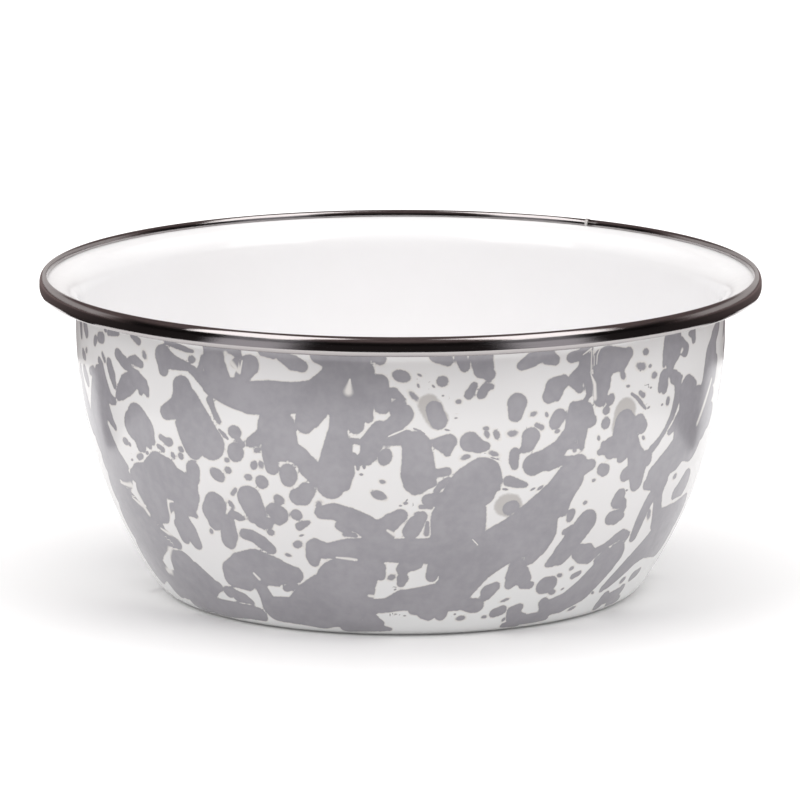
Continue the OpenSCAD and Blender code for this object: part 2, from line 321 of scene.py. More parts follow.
    ((26.5, 7.3, 1.5), (29.5, 5.8, 1.6), (33, 6, 1.6), (35.5, 5.5, 0.8)),
    ((24.5, 4.6, 0.9), (28, 4.6, 1.2)),
    # lower centre
    ((-14.6, 36.6, 1.5), (-12.1, 37, 1.9), (-9.4, 35.6, 2.4), (-6.5, 33.7, 2.7), (-3.5, 30.8, 2.8)),
    ((0, 36.3, 1.5), (-1.8, 34.7, 2.1), (-3.2, 34, 1.6)),
    ((3.9, 36, 1.2), (2.9, 34.4, 1.8), (1.9, 32.3, 1.9)),
    ((3, 36.5, 0.6), (3.7, 36.2, 0.9)),
    ((-11.4, 33.4, 0.9), (-9.8, 32, 0.8)),
    ((-10.4, 31.5, 0.5), (-8.6, 31.3, 0.5)),
    ((4.9, 34.5, 0.35), (4.9, 31.8, 0.55)),
    ((-16.8, 27.7, 1.9), (-17.2, 25, 1.7), (-17.2, 23.9, 1.3)),
    ((-16.4, 29.2, 0.7), (-14, 27.1, 1.7), (-10, 27.8, 2.4), (-5, 27.7, 2.9), (0, 27.4, 3)),
    ((-15.8, 25.8, 0.8), (-12.5, 25.9, 0.8)),
    ((0, 27.4, 3), (5, 27.3, 3.2), (10, 28, 4)),
    ((-5.6, 25.3, 2.2), (-4.3, 22.8, 1.7), (-4.1, 20.9, 1.3)),
    ((-8, 24.4, 0.7), (-6.4, 22.6, 0.7), (-5.4, 20.6, 0.7), (-5.3, 18.6, 0.5)),
    ((2, 24.9, 2.2), (0.7, 23.1, 1.6), (0.1, 22.5, 1.1)),
    ((2.2, 23, 0.8), (3.6, 23.6, 0.8)),
    ((6.5, 23.5, 1.5), (6.3, 20.6, 1.5)),
    ((0.4, 20, 1.4), (0.1, 18.7, 1)),
    ((-7.5, 12, 2), (-3, 12.3, 2), (0.5, 13.9, 2.9), (4, 14, 3.5),
     (8, 14.3, 4.3), (11.5, 16, 4.4)),
    ((2.8, 11.2, 1.5), (4, 11.1, 1.5)),
    ((5, 10, 1.6), (6.2, 9.3, 1.4)),
    ((7.4, 9.6, 1), (8.7, 9.8, 1.8), (8.8, 9.1, 1.4)),
    ((10.8, 12, 1.5), (12.6, 12, 1.4)),
    ((-11.4, 17.4, 7.6), (-12.5, 13, 7), (-18.5, 10, 5.6), (-24, 9.2, 4), (-28.8, 9.2, 3.6)),
    ((-23.6, 11.6, 1.8), (-20, 14.5, 2.9), (-16.5, 17.6, 2.8)),
    ((-6.8, 8.2, 2.1), (-5, 6.8, 1.5), (-4.7, 5.6, 1.1)),
    ((-12, 6, 2.5), (-6, 5.5, 1.4), (-2.4, 5, 0.5)),
    ((-36.4, 18, 3.6), (-33.1, 20, 4.3), (-29.6, 21.3, 4.4), (-25.5, 20.4, 3.6), (-21.6, 20, 2)),
    ((-37.8, 16.5, 2.2), (-34.2, 16.6, 2.8)),
    ((-23.5, 17.6, 0.8), (-21.5, 18.6, 0.9)),
    ((-24.6, 15.7, 0.8), (-22.2, 16.7, 0.8)),
    ((-29.8, 17, 0.8), (-26.2, 16.8, 0.6)),
    ((-30.5, 15.1, 1.8), (-30, 12.5, 2.1), (-29.7, 9.5, 2.8)),
    ((-37.8, 12, 1.1), (-36, 11.4, 1.2), (-34.6, 10.2, 0.7)),
    ((-36.3, 36, 2.9), (-37.4, 33.9, 3), (-37.5, 31.4, 2)),
    ((-34.3, 32, 1.9), (-34.6, 29, 2.4), (-35.2, 27, 2)),
    ((-32.8, 34.1, 1), (-31.5, 33.6, 0.9), (-30.4, 33.4, 0.4)),
    ((-28.5, 38.4, 3.1), (-27.7, 35.5, 2.7), (-26.9, 33.3, 1.8)),
    ((-28.8, 33.4, 0.8), (-25.3, 33, 1.2)),
    ((-26.8, 32.6, 0.9), (-26.4, 31.7, 0.5)),
    ((-23.7, 36.2, 1.8), (-22.8, 35.3, 2.1), (-23.2, 34, 1.3)),
    ((-19.1, 32.7, 0.9), (-18.1, 33.4, 0.7), (-17.1, 34, 0.3)),
    ((-31, 29.3, 1.3), (-29.3, 29.1, 1.5), (-27.3, 27.6, 1.7), (-25.8, 26.3, 1.3)),
)

# White cuts through the grey
CUTS = (
    ((-31.4, 71, 0.5), (-30.8, 69.8, 0.6), (-29.6, 68.3, 0.5), (-28.7, 67.1, 0.3)),
    ((-28.1, 69.8, 0.15), (-28.6, 67, 0.25)),
    ((-8.6, 67.3, 0.15), (-8.9, 64.6, 0.9)),
    ((-2.2, 54.7, 0.12), (-1, 55.4, 0.2), (1.4, 56.7, 0.12)),
    ((34.7, 71.5, 0.12), (34.6, 66, 0.12), (35.4, 63.8, 0.4), (35.6, 60.5, 0.45)),
    ((36.6, 71.5, 0.15), (35.9, 70, 0.15), (35.8, 68, 0.1)),
    ((32.8, 70.4, 0.1), (34.6, 71.6, 0.25)),
    ((58.2, 67.3, 0.4), (57.8, 66.8, 0.3)),
    ((54.1, 61.5, 0.35), (54.3, 60.3, 0.45)),
    ((72.3, 57.5, 0.45), (70, 53.5, 0.7), (67.3, 48.8, 0.6)),
    ((-65.8, 35.2, 0.3), (-62.5, 35.4, 0.5), (-60.8, 35.7, 0.7), (-59.4, 34.5, 0.6), (-58.5, 32, 0.75)),
    ((-58.5, 32, 0.75), (-57.9, 30.4, 0.6), (-57.3, 29.5, 0.6)),
    ((-62.2, 32.4, 0.2), (-60, 31.6, 0.5), (-58.6, 31.2, 0.6)),
    ((-48.9, 34.6, 0.4), (-49.3, 33, 0.3), (-49.5, 30.5, 0.4), (-49.9, 28.3, 0.65), (-50, 26.6, 1)),
    ((-50, 26.6, 1), (-49.3, 25.2, 0.8), (-48.8, 23.8, 0.5)),
    ((-50, 26, 0.8), (-52.5, 25.7, 0.5), (-54.5, 26.4, 0.25)),
    ((-48.6, 34.6, 0.3), (-47.4, 34.6, 0.2)),
    ((-53, 21.9, 0.15), (-54.3, 21.1, 0.7), (-55.5, 19.6, 0.65), (-56.9, 17.8, 0.85)),
    ((-56.9, 17.8, 0.85), (-58, 15.9, 1), (-59.1, 14.3, 1.1), (-60.4, 13.9, 0.8)),
    ((-12.5, 25.3, 0.2), (-10, 25.1, 0.35), (-8.6, 24.9, 0.3)),
    ((7.6, 20.5, 0.1), (7.5, 19.6, 0.2), (6.8, 18.8, 0.2)),
    ((13.6, 30, 0.1), (14.2, 29.2, 0.15), (14.9, 28.3, 0.1)),
    ((-2.4, 32.6, 0.3), (-1.2, 31.6, 0.45), (-0.4, 31, 0.3)),
    ((-31.3, 19, 0.3), (-30.4, 17.6, 0.4)),
    ((-6.6, 15.1, 0.35), (-4.5, 14.8, 0.45), (-3, 15.3, 0.35)),
)

# Round and oval drops: degrees, millimetres, half-length, half-width, lean
DROPS = (
    (-38.6, 68.7, 0.95, 0.75, 0), (-67.9, 67.3, 1.3, 0.85, 55), (-50.3, 67.6, 0.75, 0.5, 120),
    (-63.2, 70.5, 0.5, 0.3, 0), (-73.3, 63.8, 0.7, 0.5, 20),
    (-58.8, 46.5, 1.1, 0.8, 0), (-57.5, 46.1, 0.4, 0.35, 0), (-50.9, 47, 0.7, 0.6, 30),
    (-52, 45.3, 0.5, 0.35, 30), (-42.7, 46.3, 0.8, 0.75, 0), (-42.4, 47.9, 0.55, 0.5, 0),
    (-44.7, 46.1, 0.7, 0.6, 120), (-57.8, 42.4, 0.4, 0.2, 20),
    (-30, 53.8, 1.6, 1.4, 0), (-30.2, 49.2, 2.2, 1.95, 60), (-32.2, 47.1, 0.5, 0.4, 0),
    (-26.7, 46.7, 1, 0.75, 60), (-25.3, 47, 0.7, 0.55, 90), (-25.8, 50.2, 0.8, 0.6, 30),
    (-32.2, 44.7, 0.85, 0.7, 0), (-34.7, 43.3, 1.9, 1.4, 150), (-28.1, 43.6, 0.95, 0.7, 10),
    (-25.5, 42.8, 1.55, 1.5, 0), (-20.2, 45, 2.6, 2, 83), (-22.5, 39, 1.3, 1, 150),
    (-2.7, 50.1, 1.9, 1.35, 70), (-3.2, 44.4, 0.5, 0.35, 170), (-3.9, 41.2, 1.65, 0.9, 155),
    (0.1, 68.1, 1.8, 1.25, 165), (3.2, 68.3, 0.4, 0.2, 150), (3, 66, 0.35, 0.2, 110),
    (7.1, 66.8, 1.15, 1.1, 0), (5.6, 65.8, 0.3, 0.18, 140), (7.2, 63.7, 0.2, 0.15, 0),
    (2.25, 63.7, 0.9, 0.42, 135), (9.9, 62.3, 0.45, 0.35, 0), (9.5, 58.7, 0.25, 0.15, 0),
    (8, 56.1, 0.4, 0.15, 165), (11.4, 49.8, 0.8, 0.42, 15), (16.3, 50.3, 0.9, 0.42, 160),
    (16.5, 49.2, 0.8, 0.12, 160), (14.9, 56.1, 0.45, 0.35, 0), (15, 54.8, 0.65, 0.38, 110),
    (16.8, 54.5, 1.05, 0.62, 115), (19.6, 54.6, 0.82, 0.52, 0), (0.9, 39.3, 0.35, 0.25, 0),
    (-6.9, 46, 0.3, 0.2, 0), (0, 38.7, 0.25, 0.15, 0), (1.1, 40, 0.25, 0.12, 60),
    (39, 59.8, 1.25, 1.1, 60), (38.2, 57.4, 0.92, 0.87, 0), (38.3, 54.6, 1.25, 1.15, 90),
    (41.7, 64.8, 1.05, 0.65, 120), (43, 62.1, 0.4, 0.22, 170), (46.2, 66, 1.05, 0.58, 170),
    (48.5, 65.6, 0.4, 0.3, 0), (47.4, 68.9, 0.85, 0.68, 170), (49.7, 63.3, 0.65, 0.5, 0),
    (48.6, 56.3, 0.35, 0.2, 20), (48.9, 60.7, 0.25, 0.15, 0), (37, 51.4, 0.45, 0.3, 110),
    (32, 49.5, 0.5, 0.4, 120), (25.9, 58.2, 0.45, 0.28, 110), (28.1, 54.2, 0.5, 0.35, 0),
    (23.4, 58.6, 0.65, 0.4, 10), (18.9, 41.8, 0.55, 0.22, 170), (24.4, 41.3, 0.45, 0.18, 25),
    (25.8, 41.4, 0.6, 0.25, 35), (37.2, 41.6, 0.4, 0.3, 0), (54.2, 56.7, 0.95, 0.65, 90),
    (52.5, 56.2, 0.3, 0.2, 0), (48.2, 49.5, 0.5, 0.3, 140), (46, 65, 0.2, 0.12, 0),
    (57.3, 12, 1.15, 0.8, 10), (47.2, 10.7, 0.55, 0.3, 150), (42.5, 7, 0.95, 0.38, 15),
    (34.2, 13.3, 1.05, 0.65, 170), (34.6, 17.9, 0.65, 0.42, 160), (37.2, 19.4, 0.5, 0.4, 20),
    (36.8, 13.8, 0.4, 0.25, 20), (36.1, 36.4, 0.45, 0.35, 0), (22.8, 12.6, 0.85, 0.32, 15),
    (18.9, 8, 0.55, 0.35, 0), (24, 6.7, 0.5, 0.35, 60), (13.5, 8.1, 1.2, 0.72, 0),
    (46.2, 37.6, 0.3, 0.2, 0), (62, 37.6, 0.65, 0.5, 0), (55.9, 29.6, 1.1, 0.55, 120),
    (0.9, 9.3, 0.3, 0.15, 0), (12, 9.4, 0.25, 0.2, 0), (-2.3, 9.6, 0.3, 0.12, 90), (-1.1, 9.8, 0.3, 0.12, 0),
    (-1.8, 20.3, 0.72, 0.52, 30), (-1.1, 17, 0.25, 0.15, 30),
    (-38.9, 9.2, 0.6, 0.5, 30), (-39, 28.8, 0.5, 0.4, 60), (-32.7, 36.5, 1, 0.6, 125),
    (-25.2, 30.6, 0.85, 0.75, 0), (-19.4, 35.6, 1.35, 1.2, 0),
    (-18.9, 30.5, 0.45, 0.2, 20), (-20, 28.1, 1.15, 0.8, 20), (-22.3, 25.1, 0.6, 0.32, 170),
    (-15, 36.2, 0.6, 0.5, 120), (-14.9, 38.4, 0.75, 0.55, 60),
)


# Grey halos with no sharp edge: degrees, millimetres, half-width
HALOS = (
    ((4.8, 61.8, 2.4), (6.2, 58.7, 2.5)),
    ((19.4, 38, 2.8), (20.4, 37.7, 2.8)),
    ((42.7, 56.4, 3.3), (42.4, 53.8, 3.4)),
)

# Made-up marbling of the unseen half, the two sides and the underside
SEED = 7
TURN_SHIFT_DEG = 2.0
TURN_SHIFT_MM = 1.5
TURN_GROW = (0.85, 1.2)
SIDE_ROWS = (8, 71, 3.5)
SIDE_SPREAD_DEG = 9.0
SIDE_HALF = (0.8, 3.2)
SIDE_LEAN_DEG = 4.0
SIDE_DROP_MM = (1.5, 6.0)
SIDE_TAPER = (0.4, 0.9)
WRAP_DEG = 12.0
BASE_BLOTS = 90
BASE_HALF = (1.0, 5.5)
BASE_STRETCH = (1.1, 2.6)

# Meshes
SHARP_ANGLE = 40.0
FRONT_COLUMNS = 360
BACK_COLUMNS = 180
BAND_COLUMNS = 541

# Steps of a coat's section: its panel, its bends, its side and its straight wall
FACE_STEPS = (10, 5, 100, 9)
HIDDEN_STEPS = (2, 3, 13, 1)

# Steps of the band's bends, and tiles of the UV maps
CROWN_STEPS = 14
HEM_STEPS = 12
INSIDE_STEPS = 6
COAT_TILES = (4, 2)
BAND_TILES = (1, 1)

# Section of the wall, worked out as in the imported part
WALL_T = 2 * (COVER_T + GROUND_T) + STEEL_T
BAND_TO = WALL_T + BAND_GAP + BAND_T
SIDE_C = np.array([WALL_R - SIDE_R, SIDE_H])
FOOT_R = SIDE_C[0] + math.sqrt((SIDE_R - CORNER_R) ** 2 - (SIDE_H - CORNER_R) ** 2)
CORNER_C = np.array([FOOT_R, CORNER_R])
SIDE_END = math.degrees(math.atan2(CORNER_C[1] - SIDE_C[1], CORNER_C[0] - SIDE_C[0]))
STEP_TURN = math.degrees(math.acos(1 - PANEL_RISE / (2 * STEP_R)))
STEP_LOW_C = np.array([FOOT_R - FOOT_W, STEP_R])
STEP_HIGH_C = np.array([STEP_LOW_C[0] - 2 * STEP_R * math.sin(math.radians(STEP_TURN)), PANEL_RISE - STEP_R])
RIM_R = WALL_R + LIP_OVERHANG
FLARE_C = np.array([WALL_R + FLARE_R, SIDE_H + STRAIGHT_H])
FLANGE_OUT = np.array([math.cos(math.radians(FLANGE_SLOPE)), math.sin(math.radians(FLANGE_SLOPE))])
FLANGE_UP = np.array([-FLANGE_OUT[1], FLANGE_OUT[0]])
FLANGE_START = FLARE_C + FLARE_R * FLANGE_UP
CURL_X = RIM_R - BAND_TO - CURL_R
FLANGE_L = (CURL_X + CURL_R * FLANGE_UP[0] - FLANGE_START[0]) / FLANGE_OUT[0]
CURL_C = FLANGE_START + FLANGE_L * FLANGE_OUT - CURL_R * FLANGE_UP
SKIRT_END = CURL_C + np.array([CURL_R, -SKIRT_H])
HEM_C = SKIRT_END + np.array([WALL_T / 2, 0])
HEM_R = WALL_T / 2 + BAND_GAP
HEM_BEND_C = HEM_C + np.array([0, HEM_BEND_H - HEM_R - BAND_T])
LIP_TOP = CURL_C[1] + CURL_R + WALL_T
CROWN_IN_C = np.array([RIM_R - CROWN_OUT[0], LIP_TOP + BAND_GAP])
CROWN_OUT_C = CROWN_IN_C + np.array([0, CROWN_IN[1] - CROWN_OUT[1]])
SEAM_TURN = 2 * math.degrees(math.asin(SEAM_W / (2 * RIM_R)))

# Millimetres round the straight wall for each degree of the pattern
DEG_MM = math.radians(WALL_R)


def arc(c, r, a0, a1, n):
    """Points of an arc about c, in n steps."""
    turn = np.radians(np.linspace(a0, a1, n + 1))
    return c + r * np.stack([np.cos(turn), np.sin(turn)], 1)


def line(a, b, n):
    """Points after a on the way to b, in n steps."""
    share = np.linspace(0, 1, n + 1)[1:, None]
    return a + share * (b - a)


def surface_at(depth, panel_n, bend_n, side_n, straight_n):
    """Section of the wall's surface at one depth, from the axis to the free edge of the lip."""
    rows = [np.array([[0, PANEL_RISE + depth]])]

    def go_to(points):
        rows.append(points[1:] if np.allclose(points[0], rows[-1][-1]) else points)

    high = arc(STEP_HIGH_C, STEP_R + depth, QUARTER, QUARTER - STEP_TURN, bend_n)
    rows.append(line(rows[0][0], high[0], panel_n))
    go_to(high)
    go_to(arc(STEP_LOW_C, STEP_R - depth, -QUARTER - STEP_TURN, -QUARTER, bend_n))
    corner = arc(CORNER_C, CORNER_R - depth, -QUARTER, SIDE_END, 2 * bend_n)
    rows.append(line(rows[-1][-1], corner[0], bend_n))
    go_to(corner)
    go_to(arc(SIDE_C, SIDE_R - depth, SIDE_END, 0, side_n))
    flare = arc(FLARE_C, FLARE_R + depth, HALF_TURN, QUARTER + FLANGE_SLOPE, 2 * bend_n)
    rows.append(line(rows[-1][-1], flare[0], straight_n))
    go_to(flare)
    curl = arc(CURL_C, CURL_R + depth, QUARTER + FLANGE_SLOPE, 0, bend_n)
    rows.append(line(rows[-1][-1], curl[0], bend_n))
    go_to(curl)
    rows.append(line(rows[-1][-1], SKIRT_END + np.array([depth, 0]), bend_n))
    return np.concatenate(rows)


def column_angles(start, turn, n):
    """Angles of a lathe's columns in degrees, from the front towards the right."""
    return start + turn * np.arange(n) / n


def lathe(name, section, angles, whole, tiles):
    """Turns a section into a closed mesh. A whole turn joins up, and a part turn gets two end caps.

    An open section starts and ends on the axis. Its UV map splits the turn into tiles across the map.
    """
    on_axis = section[0][0] == 0
    ring = section[1:-1] if on_axis else section
    n_ring, n_col = len(ring), len(angles)
    turn = np.radians(angles)
    r = ring[:, 0, None] * MM
    height = np.broadcast_to(ring[:, 1, None] * MM, (n_ring, n_col))
    points = np.stack([r * np.sin(turn), -r * np.cos(turn), height], 2)
    verts = points.reshape(-1, 3).tolist()
    run = np.concatenate([[0], np.cumsum(np.hypot(*np.diff(section, axis=0).T))])
    along = run / run[-1]
    per_tile = n_col // tiles[0]
    last_col = n_col if whole else n_col - 1
    rows = n_ring - 1 if on_axis else n_ring
    faces, uvs = [], []

    def corner_uv(i, j, tile):
        column, row = tile % tiles[1], tile // tiles[1]
        u = (j - tile * per_tile) / per_tile
        return (column + u) / tiles[1], (row + along[i]) / max(tiles[0] // tiles[1], 1)

    def add_face(corners, j):
        tile = min(j // per_tile, tiles[0] - 1)
        faces.append([c[0] for c in corners])
        uvs.extend(corner_uv(c[1], c[2], tile) for c in corners)

    shift = 1 if on_axis else 0
    for i in range(rows):
        k = (i + 1) % n_ring
        for j in range(last_col):
            m = (j + 1) % n_col
            add_face(
                [(i * n_col + j, i + shift, j), (i * n_col + m, i + shift, j + 1),
                 (k * n_col + m, k + shift, j + 1), (k * n_col + j, k + shift, j)], j)
    if on_axis:
        for end, row in ((0, 0), (-1, n_ring - 1)):
            pole = len(verts)
            verts.append([0, 0, section[end][1] * MM])
            for j in range(n_col):
                m = (j + 1) % n_col
                pair = [(row * n_col + m, row + shift, j + 1), (row * n_col + j, row + shift, j)]
                add_face([(pole, end, j)] + (pair if end == 0 else pair[::-1]), j)
    elif not whole:
        for j in (0, n_col - 1):
            rim = [(i * n_col + j, i, j) for i in range(n_ring)]
            add_face(rim if j else rim[::-1], j)
    mesh = bpy.data.meshes.new(name)
    mesh.from_pydata(verts, [], faces)
    layer = mesh.uv_layers.new(name="OFBake")
    layer.data.foreach_set("uv", np.array(uvs, np.float32).ravel())
    mesh.polygons.foreach_set("use_smooth", np.ones(len(faces), bool))
    mesh.set_sharp_from_angle(angle=math.radians(SHARP_ANGLE))
    piece = bpy.data.objects.new(name, mesh)
    bpy.context.scene.collection.objects.link(piece)
    return piece


# Marbling: fields over a grid of degrees round and millimetres up the wall
FAR = 3.0
FINE_HALF = 0.6
FINE_REACH = 4.0
FAR_VECTOR = 6.0
FINE_LAYERS = ("fine_a", "fine_b", "fine_c")


def window(values, low, high):
    """Slice of a sorted list that covers a range."""
    return slice(*np.searchsorted(values, [low, high]))


class Fields:
    """Distances in millimetres to the grey runs and white cuts, at each point of a grid."""

    def __init__(self, x, y):
        self.x, self.y = x, y
        shape = (len(y), len(x))
        self.grey = np.full(shape, FAR)
        self.halo = np.full(shape, FAR)
        for layer in (*FINE_LAYERS, "vein"):
            setattr(self, layer, np.full(shape + (3,), FAR_VECTOR))

    def patch(self, xs, ys, reach):
        rows = window(self.y, min(ys) - reach, max(ys) + reach)
        cols = window(self.x, min(xs) - reach, max(xs) + reach)
        return (rows, cols), self.x[cols][None, :], self.y[rows][:, None]

    def offsets(self, a, b):
        """Patch of the grid near a tapered stroke, with offsets from its midline and its half-width."""
        reach = max(a[2], b[2]) * FINE_REACH + FAR
        where, x, y = self.patch((a[0] * DEG_MM, b[0] * DEG_MM), (a[1], b[1]), reach)
        ax, ay = a[0] * DEG_MM, a[1]
        dx, dy = b[0] * DEG_MM - ax, b[1] - ay
        t = np.clip(((x - ax) * dx + (y - ay) * dy) / (dx * dx + dy * dy), 0, 1)
        return where, x - ax - t * dx, y - ay - t * dy, a[2] + t * (b[2] - a[2])

    def stroke(self, target, a, b):
        where, dx, dy, half = self.offsets(a, b)
        field = getattr(self, target)
        field[where] = np.minimum(field[where], np.hypot(dx, dy) - half)

    def roomiest(self, where, close):
        """Layer of thin strokes that lie farthest from a new stroke's points."""
        gaps = [np.linalg.norm(getattr(self, layer)[where], axis=2) for layer in FINE_LAYERS]
        return FINE_LAYERS[int(np.argmax([gap[close].min(initial=FAR_VECTOR) for gap in gaps]))]

    def fine_stroke(self, target, where, u, v):
        """Keeps the nearest thin stroke's own offsets, which stay sharp between the points of the grid.
        Grey strokes near each other go to different layers, as offsets to two strokes don't blend."""
        length = np.hypot(u, v)
        layer = "vein" if target == "vein" else self.roomiest(where, length < FINE_REACH)
        field = getattr(self, layer)
        lift = np.clip(length - FINE_REACH, 0, FAR_VECTOR)
        near = length + lift < np.linalg.norm(field[where], axis=2)
        field[where][near] = np.stack([u, v, lift], 2)[near]

    def run(self, nodes, target="grey"):
        thin = max(n[2] for n in nodes) < FINE_HALF
        for a, b in zip(nodes, nodes[1:]):
            if thin or target == "vein":
                where, dx, dy, half = self.offsets(a, b)
                self.fine_stroke(target, where, dx / half, dy / half)
            else:
                self.stroke(target, a, b)

    def drop(self, deg, up, long_half, short_half, lean):
        where, x, y = self.patch((deg * DEG_MM,), (up,), long_half * FINE_REACH + FAR)
        c, s = math.cos(math.radians(lean)), math.sin(math.radians(lean))
        u = ((x - deg * DEG_MM) * c + (y - up) * s) / long_half
        v = ((y - up) * c - (x - deg * DEG_MM) * s) / short_half
        if short_half < FINE_HALF:
            self.fine_stroke("grey", where, u, v)
        else:
            self.grey[where] = np.minimum(self.grey[where], (np.hypot(u, v) - 1) * short_half)


def turned(run, rng):
    """A run for the unseen half: mirrored, turned half way round and shifted a little."""
    round_by = HALF_TURN + rng.uniform(-TURN_SHIFT_DEG, TURN_SHIFT_DEG)
    up_by = rng.uniform(-TURN_SHIFT_MM, TURN_SHIFT_MM)
    grow = rng.uniform(*TURN_GROW)
    return tuple((round_by - deg, up + up_by, half * grow) for deg, up, half in run)


def side_runs(rng):
    """Made-up runs for the strips at the two sides, between the front and the back."""
    for side in (QUARTER, -QUARTER):
        for up in np.arange(*SIDE_ROWS):
            deg = side + rng.uniform(-SIDE_SPREAD_DEG, SIDE_SPREAD_DEG)
            half = rng.uniform(*SIDE_HALF)
            lean = rng.uniform(-SIDE_LEAN_DEG, SIDE_LEAN_DEG)
            drop = rng.uniform(*SIDE_DROP_MM)
            end = half * rng.uniform(*SIDE_TAPER)
            yield ((deg, up, half), (deg + lean, up - drop, end))


def around(run):
    """A run, and its copy a whole turn away where it reaches past the grid's ends."""
    low, high = min(n[0] for n in run), max(n[0] for n in run)
    yield run
    if low < -QUARTER + WRAP_DEG:
        yield tuple((n[0] + WHOLE_TURN, *n[1:]) for n in run)
    if high > WHOLE_TURN - QUARTER - WRAP_DEG:
        yield tuple((n[0] - WHOLE_TURN, *n[1:]) for n in run)


def marbling(degs, ups):
    """All the fields of the marbled coat on its grid."""
    rng = np.random.default_rng(SEED)
    fields = Fields(degs * DEG_MM, ups)
    grey = list(RUNS) + [turned(r, rng) for r in RUNS] + list(side_runs(rng))
    for run in grey:
        for copy in around(run):
            fields.run(copy)
    for run in list(CUTS) + [turned(c, rng) for c in CUTS]:
        for copy in around(run):
            fields.run(copy, "vein")
    for run in list(HALOS) + [turned(h, rng) for h in HALOS]:
        fields.run(run, "halo")
    for deg, up, *rest in DROPS:
        fields.drop(deg, up, *rest)
        fields.drop(HALF_TURN - deg + rng.uniform(-TURN_SHIFT_DEG, TURN_SHIFT_DEG), up, *rest)
    return fields


def under_foot(fields, rows, section, degs):
    """Made-up blots on the underside, laid out flat across it."""
    rng = np.random.default_rng(SEED + 1)
    turn = np.radians(degs)
    r = section[rows, 0][:, None]
    x, y = r * np.sin(turn), -r * np.cos(turn)
    blots = fields.grey[rows]
    blots[:] = FAR
    for _ in range(BASE_BLOTS):
        cx, cy = rng.uniform(-FOOT_R, FOOT_R, 2)
        lean = rng.uniform(0, math.pi)
        half = rng.uniform(*BASE_HALF)
        long_half = half * rng.uniform(*BASE_STRETCH)
        u = ((x - cx) * math.cos(lean) + (y - cy) * math.sin(lean)) / long_half
        v = ((y - cy) * math.cos(lean) - (x - cx) * math.sin(lean)) / half
        blots[:] = np.minimum(blots, (np.hypot(u, v) - 1) * half)
    for layer in (*FINE_LAYERS, "vein"):
        getattr(fields, layer)[rows] = FAR_VECTOR


def set_fields(piece, fields, n_all, n_cols, first_row, pole_value):
    """Writes the fields to the mesh as attributes. Points outside the marbled face get plain values."""
    rows = fields.grey.shape[0]
    mesh = piece.data
    for key in ("grey", "halo"):
        values = np.full(n_all, FAR, np.float32)
        values[first_row * n_cols:(first_row + rows) * n_cols] = getattr(fields, key).ravel()
        values[-2:] = pole_value if key == "grey" else FAR
        mesh.attributes.new(key, "FLOAT", "POINT").data.foreach_set("value", values)
    for key in (*FINE_LAYERS, "vein"):
        values = np.full((n_all, 3), FAR_VECTOR, np.float32)
        values[first_row * n_cols:(first_row + rows) * n_cols] = getattr(fields, key).reshape(-1, 3)
        mesh.attributes.new(key, "FLOAT_VECTOR", "POINT").data.foreach_set("vector", values.ravel())


class Nodes:
    """Short calls that build one material's node tree."""

    def __init__(self, name):
        self.material = bpy.data.materials.new(name)
        self.material.use_nodes = True
        self.tree = self.material.node_tree
        self.bsdf = self.tree.nodes["Principled BSDF"]

    def feed(self, socket, value):
        if isinstance(value, bpy.types.NodeSocket):
            self.tree.links.new(value, socket)
        else:
            socket.default_value = value

    def put(self, kind, inputs, **settings):
        node = self.tree.nodes.new(kind)
        for key, value in settings.items():
            setattr(node, key, value)
        for key, value in inputs.items():
            self.feed(node.inputs[key], value)
        return node

    def math(self, operation, a, b=0.0):
        return self.put("ShaderNodeMath", {0: a, 1: b}, operation=operation).outputs[0]

    def step(self, value, low, high, at_low, at_high):
        """Smooth change from one value to another between two limits."""
        inputs = {"Value": value, "From Min": low, "From Max": high, "To Min": at_low, "To Max": at_high}
        return self.put("ShaderNodeMapRange", inputs, interpolation_type="SMOOTHSTEP").outputs["Result"]

    def mix(self, share, a, b):
        node = self.put("ShaderNodeMix", {}, data_type="RGBA")
        for key, value in (("Factor_Float", share), ("A_Color", a), ("B_Color", b)):
            self.feed(next(s for s in node.inputs if s.identifier == key), value)
        return next(s for s in node.outputs if s.identifier == "Result_Color")

    def noise(self, place, per_m, detail, swing):
        """Noise about zero, with that swing each way."""
        inputs = {"Vector": place, "Scale": per_m, "Detail": detail}
        value = self.put("ShaderNodeTexNoise", inputs).outputs["Fac"]
        return self.math("MULTIPLY", self.math("SUBTRACT", value, 0.5), 2 * swing)

    def attribute(self, name, output):
        return self.put("ShaderNodeAttribute", {}, attribute_name=name).outputs[output]

    def bump(self, height, strength, distance):
        inputs = {"Height": height, "Strength": strength, "Distance": distance}
        self.feed(self.bsdf.inputs["Normal"], self.put("ShaderNodeBump", inputs).outputs["Normal"])


def rgba(*colour):
    return (*colour, 1.0)


# Enamel colours, as linear values
ENAMEL_WHITE = rgba(0.785, 0.773, 0.773)
GREY_DARK = rgba(0.305, 0.296, 0.320)
GREY_PALE = rgba(0.370, 0.358, 0.384)
CREAM = rgba(0.70, 0.655, 0.60)
# Paler, cooler white low on the outer wall: a cool tint of the glaze there, and painted light that stands in
# for light bounced up from the floor
COOL_WHITE_WITH_PAINTED_BOUNCE = rgba(0.88, 0.895, 0.89)
HALO_GREY = rgba(0.47, 0.445, 0.43)
INSIDE_WHITE = rgba(0.90, 0.892, 0.898)
INSIDE_WARM = rgba(0.885, 0.874, 0.877)
GROUND_DARK = rgba(0.02, 0.02, 0.025)
GROUND_PALE = rgba(0.045, 0.045, 0.055)

# Noises: grains per metre, detail and, where it is fixed, swing
WAVE_NOISE = (420.0, 3.0)
RAGGED_NOISE = (1700.0, 2.0)
MOTTLE_NOISE = (70.0, 4.0, 0.9)
SPECK_NOISE = (480.0, 3.0, 0.6)
ROUGH_NOISE = (90.0, 3.0, 0.03)
RIPPLE_NOISE = (140.0, 2.0, 1.0)
FINE_RIPPLE_NOISE = (900.0, 2.0, 0.12)
TONE_NOISE = (35.0, 3.0, 1.0)
GROUND_NOISE = (500.0, 4.0, 1.0)

